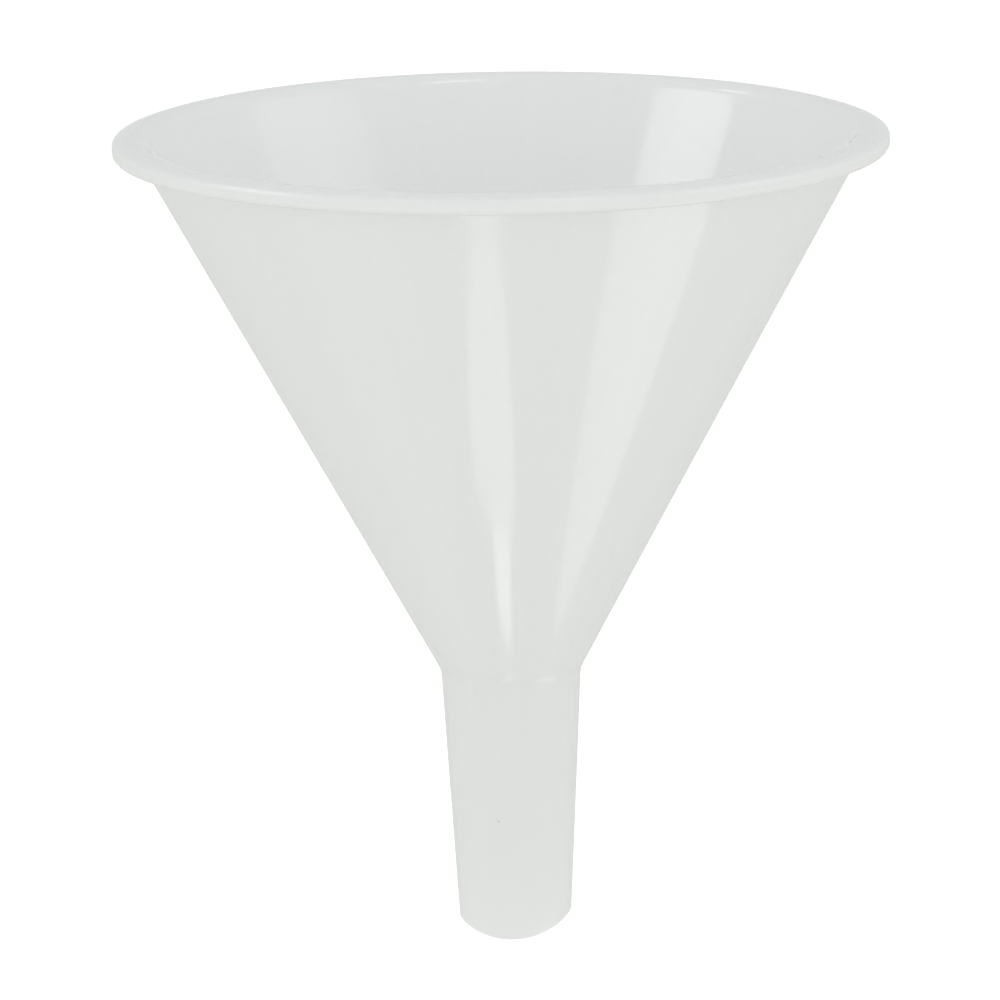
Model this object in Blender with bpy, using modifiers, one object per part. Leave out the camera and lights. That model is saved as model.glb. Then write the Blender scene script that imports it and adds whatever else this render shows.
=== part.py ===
"""A moulded laboratory funnel: a 57 degree cone with an out-turned rim and a tapered stem with an arched tip.

The real funnel is one moulding. It is modelled as its three regions: the rim flange, the cone wall and the
stem, each a closed solid that stops SPLIT_GAP short of the one above.

Frame: metres, +Z up. The origin is on the funnel's axis where the cone runs into the stem.
The stem's tip is arched: its sides towards -X and +X end a little above its front and back.
"""

from math import atan2, cos, hypot, pi, sin, sqrt, tan

import bpy
from mathutils import Vector

# Driving dimensions
RIM_RADIUS = 0.050
RIM_HEIGHT = 0.0025           # from the rim's underside up to its crown
RIM_EDGE_DROP = 0.0006        # how far the rim's top slopes down from the crown to the outer edge
CROWN_RADIUS = 0.0481         # outside of the crown's narrow flat
CONE_TOP_RADIUS = 0.0465      # outside, at the rim's underside
CONE_HEIGHT = 0.0687          # from the stem up to the rim's underside
STEM_TOP_RADIUS = 0.0091      # outside
STEM_TIP_RADIUS = 0.0073      # outside, at the lowest point
STEM_LENGTH = 0.0348          # from the cone to the tip's lowest point
TIP_ARC_RADIUS = 0.0144       # of the arch that the tip is cut to, seen along Y
TIP_ARC_OFFSET = -0.0006      # how far the arch's lowest line is from the axis, along X
WALL = 0.0018                 # the cone's wall, square to its surface
STEM_WALL = 0.0014
RIM_EDGE_ROUNDING = 0.0007    # the flange's outer edge, above and below
MOUTH_ROUNDING = 0.0025       # the inner edge, where the flange turns down into the cone
SPLIT_GAP = 0.0003            # between neighbouring solids
SPLIT_RISE = 0.0008           # how far above the rim's underside the flange ends and the cone's wall begins

TURN_STEPS = 96
ARC_STEPS = 5
TIP_ARC_STEPS = 24

# Worked out from them
CONE_SLOPE = (CONE_TOP_RADIUS - STEM_TOP_RADIUS) / CONE_HEIGHT   # radius gained per metre of height
WALL_ACROSS = WALL * hypot(1, CONE_SLOPE)                        # the cone's wall, measured level
GAP_ACROSS = SPLIT_GAP * hypot(1, CONE_SLOPE)                    # the gap beside the cone, measured level
RIM_TOP = CONE_HEIGHT + RIM_HEIGHT
RIM_SPLIT = CONE_HEIGHT + SPLIT_RISE
STEM_SLOPE = (STEM_TOP_RADIUS - STEM_TIP_RADIUS) / STEM_LENGTH
STEM_BORE_TOP_RADIUS = STEM_TOP_RADIUS - STEM_WALL


def cone_outside(height):
    """The cone's outer radius at a height."""
    return STEM_TOP_RADIUS + CONE_SLOPE * height


def cone_inside(height):
    """The cone's inner radius at a height."""
    return cone_outside(height) - WALL_ACROSS


def stem_outside(height):
    """The stem's outer radius at a height, which is negative below the cone."""
    return STEM_TOP_RADIUS + STEM_SLOPE * height


def stem_inside(height):
    """The stem's bore radius at a height."""
    return stem_outside(height) - STEM_WALL


def rounded_corner(before, corner, after, radius):
    """Points of an arc that rounds the corner between two straight stretches of a profile."""
    corner = Vector(corner)
    back = (Vector(before) - corner).normalized()
    ahead = (Vector(after) - corner).normalized()
    half_angle = back.angle(ahead) / 2
    centre = corner + (back + ahead).normalized() * radius / sin(half_angle)
    first = corner + back * radius / tan(half_angle) - centre
    last = corner + ahead * radius / tan(half_angle) - centre
    start = atan2(first.y, first.x)
    sweep = (atan2(last.y, last.x) - start + pi) % (2 * pi) - pi
    angles = [start + sweep * step / ARC_STEPS for step in range(ARC_STEPS + 1)]
    return [(centre.x + radius * cos(angle), centre.y + radius * sin(angle)) for angle in angles]


def profile_points(corners):
    """A closed profile from (radius, height, rounding) corners, listed down the outer side first."""
    points = []
    for index, (radius, height, rounding) in enumerate(corners):
        before = corners[index - 1][:2]
        after = corners[(index + 1) % len(corners)][:2]
        if rounding:
            points += rounded_corner(before, (radius, height), after, rounding)
        else:
            points.append((radius, height))
    return points


def turned_part(name, corners, material, collection):
    """A solid of revolution about Z, from the corners of its closed profile."""
    points = profile_points(corners)
    edges = [(index, (index + 1) % len(points)) for index in range(len(points))]
    mesh = bpy.data.meshes.new(name)
    mesh.from_pydata([(radius, 0, height) for radius, height in points], edges, [])
    mesh.materials.append(material)
    part = bpy.data.objects.new(name, mesh)
    collection.objects.link(part)
    screw = part.modifiers.new("Turn", "SCREW")
    screw.axis = "Z"
    screw.steps = TURN_STEPS
    screw.render_steps = TURN_STEPS
    screw.use_merge_vertices = True
    screw.merge_threshold = 0.00001
    screw.use_smooth_shade = True
    return part


def milky_plastic(name):
    """Translucent, slightly green-grey polypropylene."""
    material = bpy.data.materials.new(name)
    material.use_nodes = True
    shader = material.node_tree.nodes["Principled BSDF"]
    shader.inputs["Base Color"].default_value = (0.80, 0.82, 0.81, 1)
    shader.inputs["Roughness"].default_value = 0.35
    shader.inputs["Metallic"].default_value = 0
    shader.inputs["Transmission Weight"].default_value = 0.4
    return material


def rim_flange(material, collection):
    """The out-turned lip: flat below, with a crowned top that rounds down into the mouth."""
    return turned_part("rim_flange", [
        (RIM_RADIUS, RIM_TOP - RIM_EDGE_DROP, RIM_EDGE_ROUNDING),
        (RIM_RADIUS, CONE_HEIGHT, RIM_EDGE_ROUNDING),
        (cone_outside(CONE_HEIGHT) + GAP_ACROSS, CONE_HEIGHT, 0),
        (cone_outside(RIM_SPLIT) + GAP_ACROSS, RIM_SPLIT, 0),
        (cone_inside(RIM_SPLIT), RIM_SPLIT, 0),
        (cone_inside(RIM_TOP), RIM_TOP, MOUTH_ROUNDING),
        (CROWN_RADIUS, RIM_TOP, 0),
    ], material, collection)


def cone_wall(material, collection):
    """The cone, from just inside the rim down to the stem."""
    top = RIM_SPLIT - SPLIT_GAP
    return turned_part("cone_wall", [
        (cone_outside(top), top, 0),
        (cone_outside(0), 0, 0),
        (STEM_BORE_TOP_RADIUS, 0, 0),
        (STEM_BORE_TOP_RADIUS, inside_corner_height(), 0),
        (cone_inside(top), top, 0),
    ], material, collection)


def inside_corner_height():
    """Where the cone's inner surface comes down to the width of the stem's bore."""
    return (STEM_BORE_TOP_RADIUS - cone_inside(0)) / CONE_SLOPE


def stem(material, collection, cutters):
    """The tapered tube below the cone, with its tip cut to a shallow arch."""
    top = -SPLIT_GAP
    uncut_bottom = -STEM_LENGTH - STEM_TIP_RADIUS
    part = turned_part("stem", [
        (stem_outside(top), top, 0),
        (stem_outside(uncut_bottom), uncut_bottom, 0),
        (stem_inside(uncut_bottom), uncut_bottom, 0),
        (stem_inside(top), top, 0),
    ], material, collection)
    cut = part.modifiers.new("Arched tip", "BOOLEAN")
    cut.operation = "DIFFERENCE"
    cut.solver = "EXACT"
    cut.object = tip_cutter(cutters)
    return part


def tip_arch_height(x):
    """The height of the arched tip at a distance x from the axis."""
    return TIP_ARC_RADIUS - STEM_LENGTH - sqrt(TIP_ARC_RADIUS ** 2 - (x - TIP_ARC_OFFSET) ** 2)


def tip_cutter(collection):
    """A block along Y whose top is hollowed to the tip's arch."""
    half = 1.4 * STEM_TIP_RADIUS
    bottom = -STEM_LENGTH - 4 * STEM_TIP_RADIUS
    across = [half * (2 * step / TIP_ARC_STEPS - 1) for step in range(TIP_ARC_STEPS + 1)]
    outline = [(x, tip_arch_height(x)) for x in across] + [(half, bottom), (-half, bottom)]
    count = len(outline)
    front = [(x, -half, z) for x, z in outline]
    back = [(x, half, z) for x, z in outline]
    sides = []
    for index in range(count):
        after = (index + 1) % count
        sides.append((index, after, after + count, index + count))
    ends = [tuple(reversed(range(count))), tuple(range(count, 2 * count))]
    mesh = bpy.data.meshes.new("tip_cutter")
    mesh.from_pydata(front + back, [], sides + ends)
    cutter = bpy.data.objects.new("tip_cutter", mesh)
    collection.objects.link(cutter)
    cutter.hide_render = True
    cutter.display_type = "WIRE"
    return cutter


def clear_scene():
    for old in list(bpy.data.objects):
        bpy.data.objects.remove(old, do_unlink=True)


def new_collection(name):
    collection = bpy.data.collections.new(name)
    bpy.context.scene.collection.children.link(collection)
    return collection


def build_funnel():
    clear_scene()
    funnel = new_collection("laboratory_funnel")
    cutters = new_collection("cutters")
    centre = bpy.data.objects.new("funnel_axis", None)
    funnel.objects.link(centre)
    material = milky_plastic("milky_polypropylene")
    parts = [
        rim_flange(material, funnel),
        cone_wall(material, funnel),
        stem(material, funnel, cutters),
    ]
    for part in parts:
        part.parent = centre


build_funnel()
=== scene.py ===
from math import atan2, cos, pi, radians, sin, sqrt, tan

import bmesh
import bpy
from mathutils import Matrix, Vector


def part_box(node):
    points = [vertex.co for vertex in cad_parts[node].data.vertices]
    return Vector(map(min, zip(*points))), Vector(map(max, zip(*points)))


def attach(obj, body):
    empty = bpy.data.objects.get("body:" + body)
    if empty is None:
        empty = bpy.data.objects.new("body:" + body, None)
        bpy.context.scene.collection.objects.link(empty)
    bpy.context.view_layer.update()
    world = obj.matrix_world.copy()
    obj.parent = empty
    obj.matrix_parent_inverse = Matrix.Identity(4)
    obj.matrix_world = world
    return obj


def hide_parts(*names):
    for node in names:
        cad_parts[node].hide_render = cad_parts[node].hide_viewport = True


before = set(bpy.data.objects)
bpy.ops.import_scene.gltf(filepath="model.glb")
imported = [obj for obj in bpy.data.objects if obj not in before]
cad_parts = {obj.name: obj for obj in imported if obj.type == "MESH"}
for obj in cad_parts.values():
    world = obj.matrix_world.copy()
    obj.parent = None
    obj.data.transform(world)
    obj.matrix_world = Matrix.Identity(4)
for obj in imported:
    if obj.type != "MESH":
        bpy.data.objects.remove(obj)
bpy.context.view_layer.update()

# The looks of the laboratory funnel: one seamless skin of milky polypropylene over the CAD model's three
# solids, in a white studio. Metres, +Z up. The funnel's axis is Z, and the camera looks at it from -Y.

# The CAD model's measures
flange_low, flange_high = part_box("rim_flange")
cone_low, cone_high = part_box("cone_wall")
stem_low, stem_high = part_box("stem")
RIM_RADIUS = flange_high.x
RIM_TOP = flange_high.z
RIM_UNDERSIDE = flange_low.z
STEM_TOP_RADIUS = stem_high.x
CONE_FOOT = cone_low.z
CONE_SLOPE = (cone_high.x - STEM_TOP_RADIUS) / (cone_high.z - CONE_FOOT)   # radius gained per metre up
STEM_TIP = stem_low.z

# The measures that the CAD boxes don't give
RIM_EDGE_DROP = 0.0006        # from the rim's crown to its outer edge
CROWN_RADIUS = 0.0481
WALL_ACROSS = 0.00205         # the cone's wall, measured level
STEM_WALL = 0.0014
STEM_TIP_RADIUS = 0.0073
TIP_ARC_RADIUS = 0.0144       # of the arch that the tip is cut to, seen along Y
TIP_ARC_OFFSET = -0.0006      # of the arch's lowest line from the axis, along X
RIM_EDGE_ROUNDING = 0.0007
CROWN_ROUNDING = 0.0020       # where the rim's top begins to slope outwards
MOUTH_ROUNDING = 0.0025
RIM_FILLET = 0.0006           # under the rim, where it meets the cone
JUNCTION_FILLET = 0.0035      # outside, between cone and stem
BORE_FILLET = 0.0040          # inside, between cone and bore
TIP_ROUNDING = 0.0002
RIM_LEAN = radians(0.285)     # the rim of the real moulding sags a little towards +X

AROUND = 288                  # points round the axis
ARC_STEPS = 6
STRAIGHT_STEP = 0.0025        # longest straight stretch of a profile

PEEL_SCALE = 420              # of the moulding's orange peel, which is about 2 mm wide
CARD_LEVEL = -0.15            # height of the lights and cards under the cone


def rounded_corner(before, corner, after, radius):
    """Points of an arc that rounds the corner between two straight stretches of a profile."""
    corner = Vector(corner)
    back = (Vector(before) - corner).normalized()
    ahead = (Vector(after) - corner).normalized()
    half_angle = back.angle(ahead) / 2
    centre = corner + (back + ahead).normalized() * radius / sin(half_angle)
    first = corner + back * radius / tan(half_angle) - centre
    last = corner + ahead * radius / tan(half_angle) - centre
    start = atan2(first.y, first.x)
    sweep = (atan2(last.y, last.x) - start + pi) % (2 * pi) - pi
    angles = [start + sweep * step / ARC_STEPS for step in range(ARC_STEPS + 1)]
    return [centre + Vector((radius * cos(angle), radius * sin(angle))) for angle in angles]


def skin_profile():
    """The funnel's closed outline as (radius, height): down the outside, round the tip and up the inside."""
    cone_outside_at_rim = STEM_TOP_RADIUS + CONE_SLOPE * (RIM_UNDERSIDE - CONE_FOOT)
    cone_inside_at_rim = STEM_TOP_RADIUS + CONE_SLOPE * (RIM_TOP - CONE_FOOT) - WALL_ACROSS
    bore_top_radius = STEM_TOP_RADIUS - STEM_WALL
    bore_top = CONE_FOOT + (bore_top_radius - STEM_TOP_RADIUS + WALL_ACROSS) / CONE_SLOPE
    corners = [
        (RIM_RADIUS, RIM_TOP - RIM_EDGE_DROP, RIM_EDGE_ROUNDING),
        (RIM_RADIUS, RIM_UNDERSIDE, RIM_EDGE_ROUNDING),
        (cone_outside_at_rim, RIM_UNDERSIDE, RIM_FILLET),
        (STEM_TOP_RADIUS, CONE_FOOT, JUNCTION_FILLET),
        (STEM_TIP_RADIUS, STEM_TIP, TIP_ROUNDING),
        (STEM_TIP_RADIUS - STEM_WALL, STEM_TIP, TIP_ROUNDING),
        (bore_top_radius, bore_top, BORE_FILLET),
        (cone_inside_at_rim, RIM_TOP, MOUTH_ROUNDING),
        (CROWN_RADIUS, RIM_TOP, CROWN_ROUNDING),
    ]
    outline = []
    for index, (radius, height, rounding) in enumerate(corners):
        before = corners[index - 1][:2]
        after = corners[(index + 1) % len(corners)][:2]
        outline += rounded_corner(before, (radius, height), after, rounding)
    return subdivided(outline)


def subdivided(outline):
    """The closed outline with its long straight stretches cut into short ones."""
    points = []
    for index, point in enumerate(outline):
        after = outline[(index + 1) % len(outline)]
        pieces = int((after - point).length / STRAIGHT_STEP) + 1
        points += [point.lerp(after, piece / pieces) for piece in range(pieces)]
    return points


def skin_point(radius, height, angle):
    """A point of the turned outline, moved up or down for the arched tip and the leaning rim."""
    x = radius * cos(angle)
    y = radius * sin(angle)
    if height < CONE_FOOT:
        stem_share = (CONE_FOOT - height) / (CONE_FOOT - STEM_TIP)
        arch = TIP_ARC_RADIUS - sqrt(TIP_ARC_RADIUS ** 2 - (x - TIP_ARC_OFFSET) ** 2)
        return Vector((x, y, height + arch * stem_share ** 2))
    cone_share = (height - CONE_FOOT) / (RIM_TOP - CONE_FOOT)
    lean = (x + RIM_RADIUS) * tan(RIM_LEAN) * cone_share ** 2
    return Vector((x, y, height - lean))


def funnel_skin():
    """The whole moulding as one closed mesh."""
    profile = skin_profile()
    shell = bmesh.new()
    rings = []
    for step in range(AROUND):
        angle = 2 * pi * step / AROUND
        rings.append([shell.verts.new(skin_point(point.x, point.y, angle)) for point in profile])
    for step, ring in enumerate(rings):
        following = rings[(step + 1) % AROUND]
        for index in range(len(profile)):
            after = (index + 1) % len(profile)
            shell.faces.new((ring[index], ring[after], following[after], following[index]))
    bmesh.ops.recalc_face_normals(shell, faces=shell.faces)
    mesh = bpy.data.meshes.new("funnel_skin")
    shell.to_mesh(mesh)
    shell.free()
    mesh.shade_smooth()
    skin = bpy.data.objects.new("funnel_skin", mesh)
    bpy.context.scene.collection.objects.link(skin)
    return skin


def node(tree, kind, inputs, **properties):
    """A shader node, with each input set to a value or linked from another node's socket."""
    made = tree.nodes.new("ShaderNode" + kind)
    for name, value in properties.items():
        setattr(made, name, value)
    for name, value in inputs.items():
        if isinstance(value, bpy.types.NodeSocket):
            tree.links.new(value, made.inputs[name])
        else:
            made.inputs[name].default_value = value
    return made


def noise(tree, place, scale, detail=2.0):
    """Fractal noise from 0 to 1, whose features are about 1 / scale metres wide."""
    return node(tree, "TexNoise", {"Vector": place, "Scale": scale, "Detail": detail}).outputs[0]


def remapped(tree, value, start, end, low, high):
    """A value's range from start to end, turned into the range from low to high."""
    settings = {"Value": value, "From Min": start, "From Max": end, "To Min": low, "To Max": high}
    return node(tree, "MapRange", settings).outputs["Result"]


def calculated(tree, operation, first, second):
    """One sum, product, larger or smaller of two values."""
    return node(tree, "Math", {0: first, 1: second}, operation=operation).outputs[0]


def tinted(tree, share, first, second):
    """Two colours mixed, with share being how much of the second shows."""
    FACTOR, FIRST, SECOND, RESULT = 0, 6, 7, 2
    mix = node(tree, "Mix", {FACTOR: share, FIRST: first, SECOND: second}, data_type="RGBA")
    return mix.outputs[RESULT]


def meridian_streaks(tree, place):
    """Faint marks where the plastic flowed along the cone: noise that hardly changes with height."""
    HEIGHT_SHARE = 0.02
    STREAKS_PER_RADIAN = 9
    DETAIL = 4
    shares = (1, 1, HEIGHT_SHARE)
    flattened = node(tree, "VectorMath", {0: place, 1: shares}, operation="MULTIPLY").outputs[0]
    round_axis = node(tree, "VectorMath", {0: flattened}, operation="NORMALIZE").outputs[0]
    return noise(tree, round_axis, STREAKS_PER_RADIAN, DETAIL)


def dark_specks(tree, place):
    """How dark a speck is at a place: three single inclusions, and a few finer ones all over."""
    SPECK_RADIUS = 0.00018
    SPECKS = {
        "on_the_stem": (-0.0020, -0.0079, -0.0187),
        "on_the_rim": (-0.0472, -0.0060, 0.0711),
        "at_the_mouth": (0.0205, -0.0415, 0.0700),
    }
    CELLS_PER_METRE = 150
    DOT_CORE = 0.012              # of a fine speck, as a share of its cell
    DOT_EDGE = 0.024
    COMMON = 0.96                 # only cells whose random value is above this hold a speck
    RARE = 0.97
    FINE_DARKNESS = 0.25
    cells = node(tree, "TexVoronoi", {"Vector": place, "Scale": CELLS_PER_METRE})
    dot = remapped(tree, cells.outputs["Distance"], DOT_CORE, DOT_EDGE, 1, 0)
    rarity = remapped(tree, cells.outputs["Color"], COMMON, RARE, 0, FINE_DARKNESS)
    darkness = calculated(tree, "MULTIPLY", dot, rarity)
    for speck in SPECKS.values():
        away = node(tree, "VectorMath", {0: place, 1: speck}, operation="DISTANCE").outputs["Value"]
        inclusion = remapped(tree, away, 0, SPECK_RADIUS, 1, 0)
        darkness = calculated(tree, "MAXIMUM", darkness, inclusion)
    return darkness


def rim_wear(tree, place):
    """How scuffed the rim's outer edge and crown are: patchy, and nothing below the rim."""
    FADE = 0.001                  # below the rim
    PATCH_SCALE = 120
    PATCH_DETAIL = 5
    CLEAN = 0.42                  # where the noise is below this, the rim is clean
    SCUFFED = 0.62                # and above this, it is fully scuffed
    height = node(tree, "SeparateXYZ", {"Vector": place}).outputs["Z"]
    on_rim = remapped(tree, height, RIM_UNDERSIDE - FADE, RIM_TOP, 0, 1)
    patches = remapped(tree, noise(tree, place, PATCH_SCALE, PATCH_DETAIL), CLEAN, SCUFFED, 0, 1)
    return calculated(tree, "MULTIPLY", on_rim, patches)


def stem_painted_light_share(tree, place):
    """Share of the painted light that makes the stem paler, by height: from 0 in the cone to 1 in the stem's
    lower half.
    """
    height = node(tree, "SeparateXYZ", {"Vector": place}).outputs["Z"]
    return remapped(tree, height, CONE_FOOT, STEM_TIP / 2, 0, 1)


def plastic_colour(tree, place, grain):
    """Pale green-grey, cloudy and faintly streaked, with a few dark specks, and painted light that makes the
    thin stem paler.
    """
    PALE = (0.936, 0.962, 0.934, 1)
    DENSE = (0.908, 0.938, 0.907, 1)
    # painted light: the near-white that the stem is lightened towards, so that it shows as bright as the
    # cone
    STEM_PAINTED_PALER = (0.990, 1, 0.980, 1)
    SPECK = (0.62, 0.61, 0.58, 1)
    CLOUD_SCALE = 45              # clouds about 20 mm wide
    CLOUD_DETAIL = 3
    THINNEST_HAZE = 1.1           # the sum of three noises runs between about these two
    THICKEST_HAZE = 1.9
    clouds = noise(tree, place, CLOUD_SCALE, CLOUD_DETAIL)
    streaked = calculated(tree, "ADD", clouds, meridian_streaks(tree, place))
    haze = calculated(tree, "ADD", streaked, grain)
    density = remapped(tree, haze, THINNEST_HAZE, THICKEST_HAZE, 0, 1)
    colour = tinted(tree, density, PALE, DENSE)
    # painted light: the stem is painted paler, towards near-white, so that it shows as bright as the cone
    colour = tinted(tree, stem_painted_light_share(tree, place), colour, STEM_PAINTED_PALER)
    return tinted(tree, dark_specks(tree, place), colour, SPECK)


def plastic_roughness(tree, place):
    """A satin polish that varies a little from place to place, duller where the rim is scuffed."""
    POLISH_DETAIL = 4
    GLOSSY, SATIN = 0.07, 0.10
    LOW_NOISE, HIGH_NOISE = 0.3, 0.7
    SCUFFING = 0.04
    uneven = noise(tree, place, PEEL_SCALE, POLISH_DETAIL)
    polish = remapped(tree, uneven, LOW_NOISE, HIGH_NOISE, GLOSSY, SATIN)
    scuffs = calculated(tree, "MULTIPLY", rim_wear(tree, place), SCUFFING)
    return calculated(tree, "ADD", polish, scuffs)


def plastic_relief(tree, place, grain):
    """The moulding's slight orange peel, as a bent surface normal."""
    RELIEF = 0.000004
    GRAIN_SHARE = 0.15
    smooth_peel = noise(tree, place, PEEL_SCALE)
    fine_peel = calculated(tree, "MULTIPLY", grain, GRAIN_SHARE)
    peel = calculated(tree, "ADD", smooth_peel, fine_peel)
    return node(tree, "Bump", {"Height": peel, "Distance": RELIEF}).outputs["Normal"]


def milky_polypropylene():
    """Natural polypropylene: hazy, faintly green-grey, with the soft gloss of a polished mould."""
    GRAIN_SCALE = 1600
    GRAIN_DETAIL = 3
    LOOKS = {
        "IOR": 1.49,
        "Transmission Weight": 0.02,
        "Subsurface Weight": 0.8,
        "Subsurface Radius": (1, 1, 1),
        "Subsurface Scale": 0.0015,
    }
    material = bpy.data.materials.new("milky_polypropylene")
    material.use_nodes = True
    tree = material.node_tree
    place = tree.nodes.new("ShaderNodeTexCoord").outputs["Object"]
    grain = noise(tree, place, GRAIN_SCALE, GRAIN_DETAIL)
    shader = tree.nodes["Principled BSDF"]
    tree.links.new(plastic_colour(tree, place, grain), shader.inputs["Base Color"])
    tree.links.new(plastic_roughness(tree, place), shader.inputs["Roughness"])
    tree.links.new(plastic_relief(tree, place, grain), shader.inputs["Normal"])
    for name, value in LOOKS.items():
        shader.inputs[name].default_value = value
    return material


def soft_light(name, position, target, size, brightness):
    """A soft-edged elliptical light that shows only in the plastic's gloss: nested lamps that add up.

    The brightness is the light's radiance at its middle, where a white surround would be 1.
    """
    SHARES = (1, 0.85, 0.7, 0.5, 0.3)
    for share in SHARES:
        width, height = size[0] * share, size[1] * share
        lamp = bpy.data.lights.new(name, "AREA")
        lamp.shape = "ELLIPSE"
        lamp.size = width
        lamp.size_y = height
        lamp.energy = brightness / len(SHARES) * pi * (pi * width * height / 4)
        light = bpy.data.objects.new(name, lamp)
        light.location = position
        light.rotation_euler = (Vector(target) - Vector(position)).to_track_quat("-Z", "Y").to_euler()
        light.visible_camera = False
        light.visible_diffuse = False
        bpy.context.scene.collection.objects.link(light)


def reflection_card(name, outline, brightness):
    """A glowing level card under the cone, which shows only in the plastic's gloss."""
    mesh = bpy.data.meshes.new(name)
    mesh.from_pydata([(x, y, CARD_LEVEL) for x, y in outline], [], [tuple(range(len(outline)))])
    card = bpy.data.objects.new(name, mesh)
    card.visible_camera = False
    card.visible_diffuse = False
    card.visible_transmission = False
    card.visible_shadow = False
    bpy.context.scene.collection.objects.link(card)
    glow = bpy.data.materials.new(name)
    glow.use_nodes = True
    tree = glow.node_tree
    emission = node(tree, "Emission", {"Color": (1, 1, 1, 1), "Strength": brightness})
    tree.links.new(emission.outputs[0], tree.nodes["Material Output"].inputs["Surface"])
    mesh.materials.append(glow)


def window_cards():
    """The window that the front of the cone reflects: an arch, and a narrower strip nearer to the stem."""
    ARCH_CENTRE = Vector((-0.0185, -0.0852))
    ARCH_HALF_WIDTH = 0.0285
    ARCH_DEPTH = 0.0518
    ARCH_STEPS = 24
    ARCH_BRIGHTNESS = 2.1
    STRIP_CENTRE = Vector((-0.0105, -0.0770))
    STRIP_HALF_WIDTH = 0.0135
    STRIP_HALF_DEPTH = 0.0082
    STRIP_BRIGHTNESS = 3.3
    turns = [pi * step / ARCH_STEPS for step in range(ARCH_STEPS + 1)]
    arch = [ARCH_CENTRE + Vector((ARCH_HALF_WIDTH * cos(turn), -ARCH_DEPTH * sin(turn))) for turn in turns]
    corners = ((-1, -1), (1, -1), (1, 1), (-1, 1))
    strip = [STRIP_CENTRE + Vector((side * STRIP_HALF_WIDTH, end * STRIP_HALF_DEPTH))
             for side, end in corners]
    reflection_card("window_arch", arch, ARCH_BRIGHTNESS)
    reflection_card("window_strip", strip, STRIP_BRIGHTNESS)


def white_surround():
    """Soft light from all round, dimmer and cooler from above, with a plain white for the camera to see."""
    BELOW = 0.88                  # brightness from straight below, from all sides and from straight above
    LEVEL = 1.00
    ABOVE = 0.72
    BEHIND_SHARE = 0.73           # how much of that comes from behind the funnel
    BACKDROP = 1.07
    WARM = (0.985, 1, 0.972, 1)   # the tint of the light from below and from the sides
    COOL = (0.985, 0.998, 1.010, 1)
    COOL_FROM = 0.6               # the height from which all of the light is cool
    world = bpy.data.worlds.new("white_studio")
    bpy.context.scene.world = world
    world.use_nodes = True
    tree = world.node_tree
    direction = tree.nodes.new("ShaderNodeTexCoord").outputs["Generated"]
    split = node(tree, "SeparateXYZ", {"Vector": direction}).outputs
    lower_half = remapped(tree, split["Z"], -1, 0, BELOW, LEVEL)
    upper_half = remapped(tree, split["Z"], 0, 1, LEVEL, ABOVE)
    by_height = calculated(tree, "MINIMUM", lower_half, upper_half)
    by_depth = remapped(tree, split["Y"], 0, 1, 1, BEHIND_SHARE)
    lighting = calculated(tree, "MULTIPLY", by_height, by_depth)
    seen = tree.nodes.new("ShaderNodeLightPath").outputs["Is Camera Ray"]
    strength = remapped(tree, seen, 0, 1, lighting, BACKDROP)
    tree.links.new(strength, tree.nodes["Background"].inputs["Strength"])
    tint = tinted(tree, remapped(tree, split["Z"], 0, COOL_FROM, 0, 1), WARM, COOL)
    tree.links.new(tint, tree.nodes["Background"].inputs["Color"])


def floor_wash(floor):
    """Light for the floor alone, so that it stays white without throwing light on the funnel."""
    BRIGHTNESS = 1.5
    lamp = bpy.data.lights.new("floor_wash", "SUN")
    lamp.energy = BRIGHTNESS
    light = bpy.data.objects.new("floor_wash", lamp)
    bpy.context.scene.collection.objects.link(light)
    floor_only = bpy.data.collections.new("floor_only")
    floor_only.objects.link(floor)
    light.light_linking.receiver_collection = floor_only


def studio_lights():
    """The soft lights whose reflections streak the cone and line the rim."""
    middle = (0, 0, RIM_TOP / 2)
    rim_centre = (0, 0, RIM_TOP)
    right_front = (0.02, -0.03, 0.05)
    left_front = (-0.02, -0.03, 0.05)

    # The two streaks inside the cone
    soft_light("left_softbox", (-0.64, -0.10, 0.50), middle, (0.42, 0.44), 8.0)
    soft_light("right_softbox", (0.64, -0.10, 0.50), middle, (0.58, 0.46), 3.0)

    # The glints along the rim
    soft_light("overhead", (0.09, -0.08, 0.66), rim_centre, (0.09, 0.18), 12.0)
    soft_light("overhead_left", (-0.48, 0.26, 0.66), rim_centre, (0.14, 0.14), 12.0)
    soft_light("front", (0.175, -0.63, 0.315), rim_centre, (0.18, 0.14), 6.0)
    soft_light("far_left", (-0.68, 0.05, 0.21), rim_centre, (0.10, 0.14), 4.0)
    soft_light("far_right", (0.68, 0.05, 0.21), rim_centre, (0.10, 0.14), 3.0)

    # The pale bands down the outside of the cone
    soft_light("low_right", (0.158, -0.060, CARD_LEVEL), right_front, (0.12, 0.12), 4.6)
    soft_light("low_left", (-0.150, -0.055, CARD_LEVEL), left_front, (0.15, 0.12), 0.6)


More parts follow.
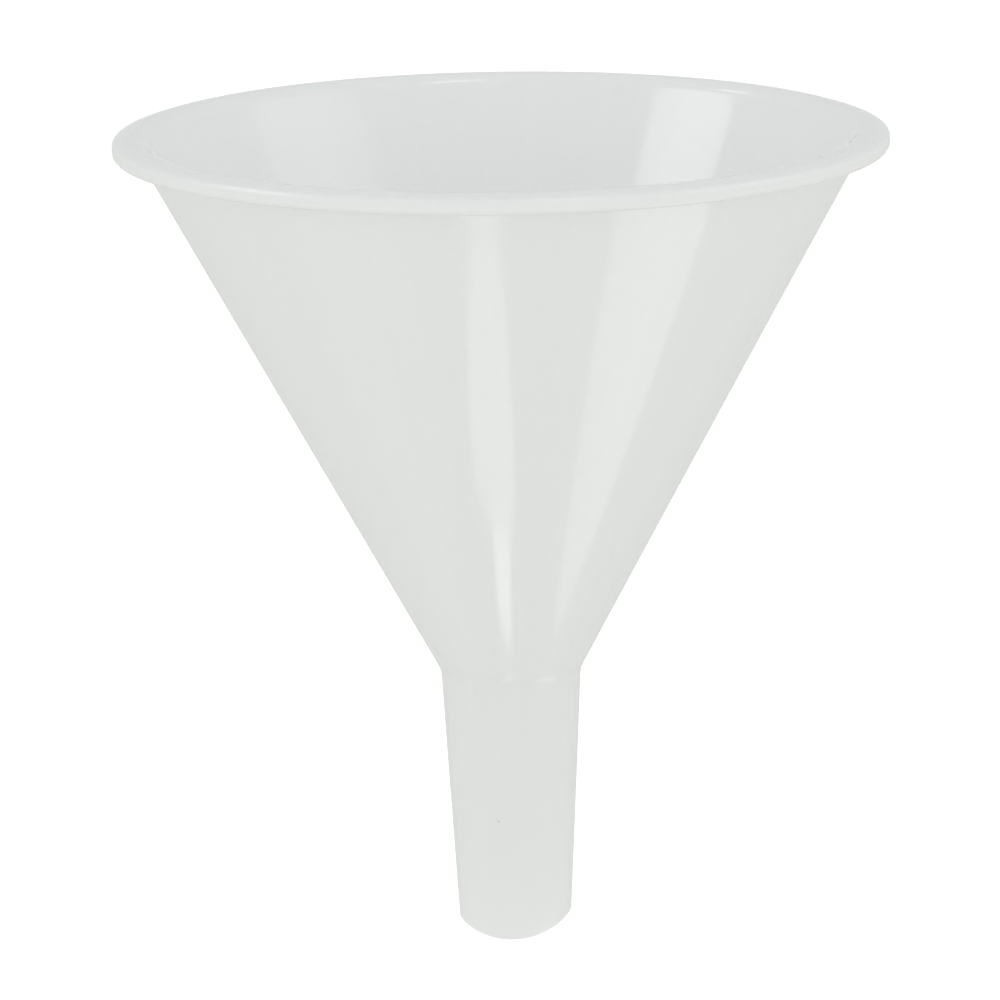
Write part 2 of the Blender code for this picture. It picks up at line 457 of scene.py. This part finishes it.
def pale_floor():
    """A wide floor some way under the stem's tip, which throws no light back up."""
    FLOOR_DROP = 0.25
    HALF = 6
    PALE_GREY = (0.95, 0.95, 0.95, 1)
    MATT = 0.9
    level = STEM_TIP - FLOOR_DROP
    mesh = bpy.data.meshes.new("floor")
    corners = [(-HALF, -HALF, level), (HALF, -HALF, level), (HALF, HALF, level), (-HALF, HALF, level)]
    mesh.from_pydata(corners, [], [(0, 1, 2, 3)])
    floor = bpy.data.objects.new("floor", mesh)
    floor.visible_diffuse = False
    floor.visible_glossy = False
    floor.visible_transmission = False
    bpy.context.scene.collection.objects.link(floor)
    paint = bpy.data.materials.new("pale_floor")
    paint.use_nodes = True
    shader = paint.node_tree.nodes["Principled BSDF"]
    shader.inputs["Base Color"].default_value = PALE_GREY
    shader.inputs["Roughness"].default_value = MATT
    mesh.materials.append(paint)
    return floor


def camera():
    """A long lens a little above the rim, tipped down along the funnel."""
    DISTANCE = 1.02926
    ELEVATION = radians(9.373)
    ROLL = radians(-1.125)
    AIM_SIDE = -0.001008
    AIM_DROP = 0.04889
    FOCAL_LENGTH = 288            # millimetres, as is the sensor's width
    SENSOR_WIDTH = 36
    rim_centre = Vector((0, 0, RIM_TOP))
    lens = bpy.data.cameras.new("camera")
    lens.lens = FOCAL_LENGTH
    lens.sensor_width = SENSOR_WIDTH
    eye = bpy.data.objects.new("camera", lens)
    eye.location = rim_centre + DISTANCE * Vector((0, -cos(ELEVATION), sin(ELEVATION)))
    aim = rim_centre + Vector((AIM_SIDE, 0, -AIM_DROP))
    turn = (aim - eye.location).to_track_quat("-Z", "Y").to_matrix() @ Matrix.Rotation(ROLL, 3, "Z")
    eye.rotation_euler = turn.to_euler()
    bpy.context.scene.collection.objects.link(eye)
    bpy.context.scene.camera = eye


skin = funnel_skin()
skin.data.materials.append(milky_polypropylene())
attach(skin, "root")
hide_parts("rim_flange", "cone_wall", "stem")

white_surround()
floor_wash(pale_floor())
studio_lights()
window_cards()
camera()
bpy.context.scene.view_settings.view_transform = "Standard"
